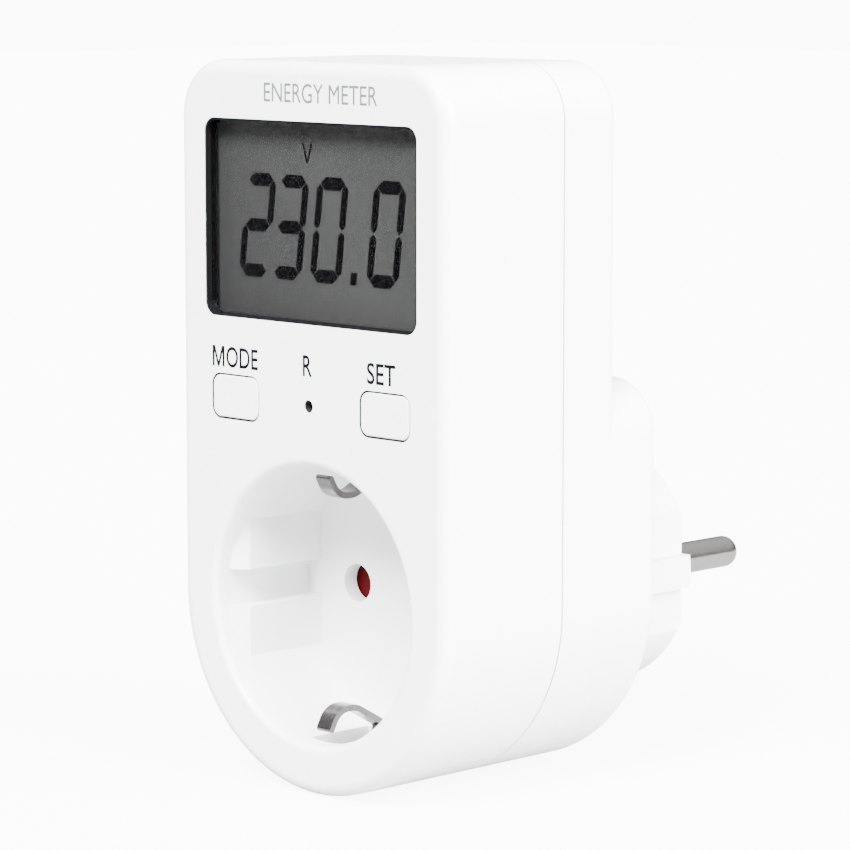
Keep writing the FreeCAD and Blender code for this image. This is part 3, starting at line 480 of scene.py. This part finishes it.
def build_copies_tree():
    tree = bpy.data.node_groups.new("lay copies", "GeometryNodeTree")
    tree.interface.new_socket("Points", in_out="INPUT", socket_type="NodeSocketGeometry")
    for label, kind in COPIES_INPUTS:
        tree.interface.new_socket(label, in_out="INPUT", socket_type=kind)
    tree.interface.new_socket("Copies", in_out="OUTPUT", socket_type="NodeSocketGeometry")
    given = tree.nodes.new("NodeGroupInput")
    result = tree.nodes.new("NodeGroupOutput")
    pattern = tree.nodes.new("GeometryNodeObjectInfo")
    lay = tree.nodes.new("GeometryNodeInstanceOnPoints")
    realize = tree.nodes.new("GeometryNodeRealizeInstances")
    place = tree.nodes.new("GeometryNodeInputPosition")
    split = tree.nodes.new("ShaderNodeSeparateXYZ")
    rise = tree.nodes.new("ShaderNodeMath")
    rise.operation = "SUBTRACT"
    shift = tree.nodes.new("ShaderNodeMath")
    shift.operation = "MULTIPLY"
    join = tree.nodes.new("ShaderNodeCombineXYZ")
    move = tree.nodes.new("GeometryNodeSetPosition")
    dress = tree.nodes.new("GeometryNodeSetMaterial")
    link = tree.links.new
    link(given.outputs["Points"], lay.inputs["Points"])
    link(given.outputs["Pattern"], pattern.inputs["Object"])
    link(pattern.outputs["Geometry"], lay.inputs["Instance"])
    link(lay.outputs["Instances"], realize.inputs["Geometry"])
    link(place.outputs["Position"], split.inputs["Vector"])
    link(split.outputs["Z"], rise.inputs[0])
    link(given.outputs["Lean From"], rise.inputs[1])
    link(rise.outputs["Value"], shift.inputs[0])
    link(given.outputs["Lean"], shift.inputs[1])
    link(shift.outputs["Value"], join.inputs["X"])
    link(realize.outputs["Geometry"], move.inputs["Geometry"])
    link(join.outputs["Vector"], move.inputs["Offset"])
    link(move.outputs["Geometry"], dress.inputs["Geometry"])
    link(given.outputs["Finish"], dress.inputs["Material"])
    link(dress.outputs["Geometry"], result.inputs["Copies"])
    return tree


copies_tree = build_copies_tree()


def link_object(name, mesh):
    piece = bpy.data.objects.new(name, mesh)
    bpy.context.scene.collection.objects.link(piece)
    return piece


def lay_copies(name, pattern, spots, finish, body, slot, lean=0.0, lean_from=0.0):
    """Copies of pattern on spots, as one plain mesh that rides on body."""
    points = bpy.data.meshes.new(name)
    points.from_pydata(spots, [], [])
    source = link_object(name + "_points", points)
    modifier = source.modifiers.new("lay copies", "NODES")
    modifier.node_group = copies_tree
    values = {"Pattern": pattern, "Lean": lean, "Lean From": lean_from, "Finish": finish}
    for socket in copies_tree.interface.items_tree:
        if socket.name in values:
            modifier[socket.identifier] = values[socket.name]
    evaluated = source.evaluated_get(bpy.context.evaluated_depsgraph_get())
    mesh = bpy.data.meshes.new_from_object(evaluated)
    source.modifiers.clear()
    bpy.data.objects.remove(source)
    bpy.data.objects.remove(pattern)
    piece = link_object(name, mesh)
    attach(piece, body)
    print(name, "has", len(mesh.polygons), "faces from", len(spots), "copies")


# %% [markdown]
# ## The display's figures
# A figure has three bars across and four upright, and each bar is a long hexagon, so that neighbours meet
# at a mitre with a hairline between them. The bars across are thicker than the upright ones, as on the real
# glass. The letters name the bars: a, g and d from top to bottom, f and b the upper pair, e and c the lower
# pair. Each of FIGURES is where its middle is, in millimetres, and which bars are dark.

# %% Bars and figures
FIGURE_BASE = 46.6 * MM
FIGURE_STEP = 6.5 * MM
FIGURE_HALF = 2.55 * MM
FIGURE_LEAN = 0.125
ACROSS_BAR = (4.95 * MM, 1.85 * MM)
UPRIGHT_BAR = (1.25 * MM, 6.3 * MM)
BAR_THICKNESS = 0.04 * MM
BAR_LIFT = 0.03 * MM
FIGURES = ((-14.1, "abged"), (-7.35, "abgcd"), (0.72, "abcdef"), (12.15, "abcdef"))
ACROSS_PLACES = {"a": 2, "g": 1, "d": 0}
UPRIGHT_PLACES = {"b": (1, 1.5), "c": (1, 0.5), "e": (-1, 0.5), "f": (-1, 1.5)}
POINT_X = 6.45 * MM
POINT_HALF_WIDTH = 0.62 * MM
POINT_HALF_HEIGHT = 0.85 * MM

lcd_black = plain_finish(
    "display black", (0.0006, 0.0006, 0.0007), 0.45, grain_size=2 * MM, grain_height=0.001 * MM, gloss=0.0
)
figure_y = panel_y - BAR_LIFT


def prism(name, outline, thickness):
    """A flat piece with that outline of (x, z) points, thickness deep along y."""
    shape = bmesh.new()
    front = [shape.verts.new((x, -thickness / 2, z)) for x, z in outline]
    back = [shape.verts.new((x, thickness / 2, z)) for x, z in outline]
    shape.faces.new(front)
    shape.faces.new(back[::-1])
    for index, vertex in enumerate(front):
        following = (index + 1) % len(front)
        shape.faces.new((vertex, back[index], back[following], front[following]))
    bmesh.ops.recalc_face_normals(shape, faces=shape.faces)
    mesh = bpy.data.meshes.new(name)
    shape.to_mesh(mesh)
    shape.free()
    return link_object(name, mesh)


def bar(name, width, height):
    """A hexagon, pointed at both ends of its longer side."""
    x, z = width / 2, height / 2
    point = min(x, z)
    if width > height:
        outline = [(-x, 0), (point - x, -z), (x - point, -z), (x, 0), (x - point, z), (point - x, z)]
    else:
        outline = [(0, -z), (x, point - z), (x, z - point), (0, z), (-x, z - point), (-x, point - z)]
    return prism(name, outline, BAR_THICKNESS)


across_spots = []
upright_spots = []
for centre, bars in FIGURES:
    for letter in bars:
        if letter in ACROSS_PLACES:
            level = ACROSS_PLACES[letter]
            across_spots.append((centre * MM, figure_y, FIGURE_BASE + level * FIGURE_STEP))
        else:
            side, level = UPRIGHT_PLACES[letter]
            x = centre * MM + side * FIGURE_HALF
            upright_spots.append((x, figure_y, FIGURE_BASE + level * FIGURE_STEP))
display_look = dict(body="housing", slot="display_glass", lean=FIGURE_LEAN, lean_from=FIGURE_BASE)
lay_copies("figure_bars_across", bar("across_bar", *ACROSS_BAR), across_spots, lcd_black, **display_look)
lay_copies("figure_bars_upright", bar("upright_bar", *UPRIGHT_BAR), upright_spots, lcd_black, **display_look)

point_outline = [(x * POINT_HALF_WIDTH, z * POINT_HALF_HEIGHT) for x, z in SQUARE]
point_pattern = prism("point_bar", point_outline, BAR_THICKNESS)
lay_copies("figure_point", point_pattern, [(POINT_X, figure_y, FIGURE_BASE)], lcd_black, **display_look)

# %% [markdown]
# ## Printed legends
# The legends are a thin coat of ink on the face. A text curve is turned into a mesh, measured, and scaled
# to fill a box that is given in millimetres, so its height and width are right whatever the font's own
# proportions are. A box's four numbers are its left, right, bottom and top. Two letters are drawn instead,
# in a unit square: the M, whose corners fold over when the font thickens it, and the V on the display.

# %% Legends
INK_THICKNESS = 0.03 * MM
CURVE_STEPS = 6
CURVE_DEPTH = 0.5
KEY_WEIGHT = 0.012
KEY_ROW = (32.65, 35.65)
M_BOX = (-20.15, -17.6, *KEY_ROW)
KEY_LEGENDS = {
    "mode_legend": ("ODE", -17.2, -10.5),
    "reset_legend": ("R", -1.1, 0.75),
    "set_legend": ("SET", 11.85, 17.45),
}
NAME_BOX = (-8.9, 14.0, 70.8, 73.5)
VOLT_BOX = (-3.95, -1.85, 62.3, 65.1)
M_STEM = 0.16
M_STEM_TOP = 0.72
LETTER_M = [
    (0, 0), (M_STEM, 0), (M_STEM, M_STEM_TOP), (0.43, 0),
    (0.57, 0), (1 - M_STEM, M_STEM_TOP), (1 - M_STEM, 0), (1, 0),
    (1, 1), (0.79, 1), (0.5, 0.22), (0.21, 1), (0, 1),
]
V_ARM = 0.17
V_NOTCH = 0.16
LETTER_V = [
    (0, 1), (V_ARM, 1), (0.5, V_NOTCH), (1 - V_ARM, 1), (1, 1), (0.5 + V_ARM / 2, 0), (0.5 - V_ARM / 2, 0),
]

ink_black = plain_finish("black ink", (0.0025, 0.0025, 0.003), 0.60, gloss=0.03)
ink_grey = plain_finish("grey ink", (0.085, 0.087, 0.09), 0.60, gloss=0.05)


def legend(name, words, left, right, bottom, top, y, finish, slot, weight=0.0):
    """Printed words that fill the box from left to right and bottom to top, in millimetres.

    The curve's own depth doesn't show, because it is scaled to the ink's thickness.
    """
    curve = bpy.data.curves.new(name, "FONT")
    curve.body = words
    curve.offset = weight
    curve.extrude = CURVE_DEPTH
    curve.resolution_u = CURVE_STEPS
    source = link_object(name + "_curve", curve)
    evaluated = source.evaluated_get(bpy.context.evaluated_depsgraph_get())
    mesh = bpy.data.meshes.new_from_object(evaluated)
    bpy.data.objects.remove(source)
    low = [min(vertex.co[axis] for vertex in mesh.vertices) for axis in range(3)]
    high = [max(vertex.co[axis] for vertex in mesh.vertices) for axis in range(3)]
    across = (right - left) * MM / (high[0] - low[0])
    upright = (top - bottom) * MM / (high[1] - low[1])
    for vertex in mesh.vertices:
        x = left * MM + (vertex.co.x - low[0]) * across
        z = bottom * MM + (vertex.co.y - low[1]) * upright
        depth = (high[2] - vertex.co.z) / (high[2] - low[2]) * INK_THICKNESS
        vertex.co = (x, y - INK_THICKNESS + depth, z)
    mesh.materials.clear()
    mesh.materials.append(finish)
    piece = link_object(name, mesh)
    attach(piece, "housing")


def printed_shape(name, outline, left, right, bottom, top, y, finish, slot):
    """A flat shape drawn in a unit square, stretched over a box in millimetres."""
    wide, high = right - left, top - bottom
    stretched = [((left + x * wide) * MM, (bottom + z * high) * MM) for x, z in outline]
    piece = prism(name, stretched, INK_THICKNESS)
    for vertex in piece.data.vertices:
        vertex.co.y += y - INK_THICKNESS / 2
    piece.data.materials.append(finish)
    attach(piece, "housing")


printed_shape("mode_legend_m", LETTER_M, *M_BOX, face_y, ink_black, "white_case")
for name, (words, left, right) in KEY_LEGENDS.items():
    legend(name, words, left, right, *KEY_ROW, face_y, ink_black, "white_case", KEY_WEIGHT)
legend("name_legend", "ENERGY METER", *NAME_BOX, face_y, ink_grey, "white_case")
printed_shape("volt_legend", LETTER_V, *VOLT_BOX, figure_y, lcd_black, "display_glass")
print("legends printed")

# %% [markdown]
# ## Lines where pieces meet
# The two halves of the case meet at a narrow groove, the keys have a gap round them, and the reset pinhole is
# a
# small hole. The shade in each is painted: it shows as a thin dark ring, a little inside the surface. All are
# the same kind of ring, between an outer and an inner outline. The case's outline is a half circle, two
# straight sides and two rounded top corners, a key's has four equal corners and a pinhole's is a circle, so
# all are worked out from one arc.

# %% Outlines and rings
ARC_STEPS = 12
CASE_CORNER = 8.0 * MM
KEY_CORNER = 1.5 * MM

# Painted shade: two dark finishes for rings that stand in for the shade in the seam's groove, the pinhole and
# the gaps round the keys.
grey_painted_shade = plain_finish("grey painted shade", (0.016, 0.016, 0.017), 0.60, gloss=0.1)
black_painted_shade = plain_finish("black painted shade", (0.004, 0.004, 0.0045), 0.60, gloss=0.05)


def arc(x, z, radius, start, turn, steps=ARC_STEPS):
    """Points on an arc about (x, z), from start and on by turn, in quarter turns."""
    angles = [(start + turn * step / steps) * math.pi / 2 for step in range(steps + 1)]
    return [(x + radius * math.cos(angle), z + radius * math.sin(angle)) for angle in angles]


def case_outline(inset):
    """The case's outline in the face's plane, inset metres inside it."""
    half = shell_high.x - inset
    corner = CASE_CORNER - inset
    x, z = half - corner, shell_high.z - inset - corner
    bottom = arc(0, 0, half, 2, 2, 4 * ARC_STEPS)
    return bottom + arc(x, z, corner, 0, 1) + arc(-x, z, corner, 1, 1)


def key_outline(low, high, growth):
    """The outline of a key cap whose box goes from low to high, growth metres outside it."""
    middle = (low + high) / 2
    corner = KEY_CORNER + growth
    x = (high.x - low.x) / 2 + growth - corner
    z = (high.z - low.z) / 2 + growth - corner
    points = []
    sides = ((1, 1), (-1, 1), (-1, -1), (1, -1))
    for quarter, (side_x, side_z) in enumerate(sides):
        points += arc(middle.x + side_x * x, middle.z + side_z * z, corner, quarter, 1)
    return points


def ring(name, outer, inner, y_low, y_high, finish):
    """A closed ring between two outlines, which have the same number of points."""
    shape = bmesh.new()
    sections = ((outer, y_low), (outer, y_high), (inner, y_high), (inner, y_low))
    rows = [[shape.verts.new((x, y, z)) for x, z in outline] for outline, y in sections]
    for row, following in zip(rows, rows[1:] + rows[:1]):
        for index in range(len(row)):
            after = (index + 1) % len(row)
            shape.faces.new((row[index], row[after], following[after], following[index]))
    bmesh.ops.recalc_face_normals(shape, faces=shape.faces)
    mesh = bpy.data.meshes.new(name)
    shape.to_mesh(mesh)
    shape.free()
    mesh.materials.append(finish)
    piece = link_object(name, mesh)
    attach(piece, "housing")
    print(name, "has", len(mesh.polygons), "faces")


# %% [markdown]
# The seam's painted shade is a dark ring that lies 0.15 mm inside the case's surface. A key's painted shade
# fills the gap round its cap but for a hair on each side, so that the key still slides past it. A key's box
# includes the flange that holds it in, so the cap is the box less that flange. The pinhole's painted shade
# lines the hole, which is level with the keys.

# %% Painted shade in the seam, round the keys and in the pinhole
KEY_FLANGE = 1.0 * MM
SEAM_INSET = 0.15 * MM
SEAM_DEPTH = 0.32 * MM
SEAM_WIDTH = 0.21 * MM
HAIR = 0.02 * MM
KEY_GAP = 0.25 * MM
GAP_SINK = 0.12 * MM
GAP_DEPTH = 0.5 * MM
PINHOLE_RADIUS = 0.9 * MM
PINHOLE_SHADE_WIDTH = 0.08 * MM
PINHOLE_SINK = 0.15 * MM
PINHOLE_DEPTH = 1.6 * MM

# Painted shade: a dark ring in the seam's groove.
seam_y = shell_high.y + HAIR
ring(
    "seam_line", case_outline(SEAM_INSET), case_outline(SEAM_INSET + SEAM_DEPTH), seam_y, seam_y + SEAM_WIDTH,
    grey_painted_shade,
)
# Painted shade: a dark ring in the gap round each key.
gap_y = face_y + GAP_SINK
flange = Vector((KEY_FLANGE, 0, KEY_FLANGE))
for name, low, high in (("mode_key_line", mode_low, mode_high), ("set_key_line", set_low, set_high)):
    cap_low, cap_high = low + flange, high - flange
    outer = key_outline(cap_low, cap_high, KEY_GAP - HAIR)
    inner = key_outline(cap_low, cap_high, HAIR)
    ring(name, outer, inner, gap_y, gap_y + GAP_DEPTH, black_painted_shade)
# Painted shade: a dark ring lining the pinhole.
pinhole_z = (mode_low.z + mode_high.z) / 2
pinhole_y = face_y + PINHOLE_SINK
pinhole_outer = arc(0, pinhole_z, PINHOLE_RADIUS - HAIR, 0, 4, 4 * ARC_STEPS)[:-1]
pinhole_inner = arc(0, pinhole_z, PINHOLE_RADIUS - HAIR - PINHOLE_SHADE_WIDTH, 0, 4, 4 * ARC_STEPS)[:-1]
ring(
    "pinhole_sleeve", pinhole_outer, pinhole_inner, pinhole_y, pinhole_y + PINHOLE_DEPTH, grey_painted_shade,
)

# %% [markdown]
# ## Solder joints
# Each board's parts are soldered to it. The joints are small drops in rows on the board's back, which is its
# highest y, and the same tree lays them.

# %% Solder joints
DROP_STEPS = {"u_segments": 10, "v_segments": 6}
NEARLY_ZERO = 1e-7
DISPLAY_DROP = (0.7 * MM, 0.6 * MM)
POWER_DROP = (0.9 * MM, 0.7 * MM)
DISPLAY_GRID = (range(-4, -1), 3.0 * MM, range(8, 11), 3.2 * MM)
POWER_GRID = (range(-4, 5), 4.0 * MM, range(9, 14), 4.5 * MM)
solder = worked_metal("solder", (0.62, 0.62, 0.63), 0.22, EVEN, size=0.4 * MM)


def solder_drop(radius, height):
    """A half drop whose flat side is on y = 0 and whose crown points along y."""
    shape = bmesh.new()
    bmesh.ops.create_uvsphere(shape, radius=radius, **DROP_STEPS)
    below = [vertex for vertex in shape.verts if vertex.co.z < -NEARLY_ZERO]
    bmesh.ops.delete(shape, geom=below, context="VERTS")
    rim = [edge for edge in shape.edges if edge.is_boundary]
    bmesh.ops.contextual_create(shape, geom=rim)
    for vertex in shape.verts:
        x, y, z = vertex.co
        vertex.co = (x, z / radius * height, y)
    bmesh.ops.recalc_face_normals(shape, faces=shape.faces)
    mesh = bpy.data.meshes.new("joint")
    shape.to_mesh(mesh)
    shape.free()
    return link_object("joint", mesh)


def joint_spots(board, columns, column_step, rows, row_step):
    """A grid of places on the back of a board, counted in steps from the plug's axis."""
    back_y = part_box(board)[1].y
    return [(column * column_step, back_y, row * row_step) for column in columns for row in rows]


display_joints = joint_spots("display_board", *DISPLAY_GRID)
power_joints = joint_spots("power_board", *POWER_GRID)
lay_copies(
    "display_board_joints", solder_drop(*DISPLAY_DROP), display_joints, solder, "housing", "screw_steel"
)
lay_copies("power_board_joints", solder_drop(*POWER_DROP), power_joints, solder, "housing", "screw_steel")
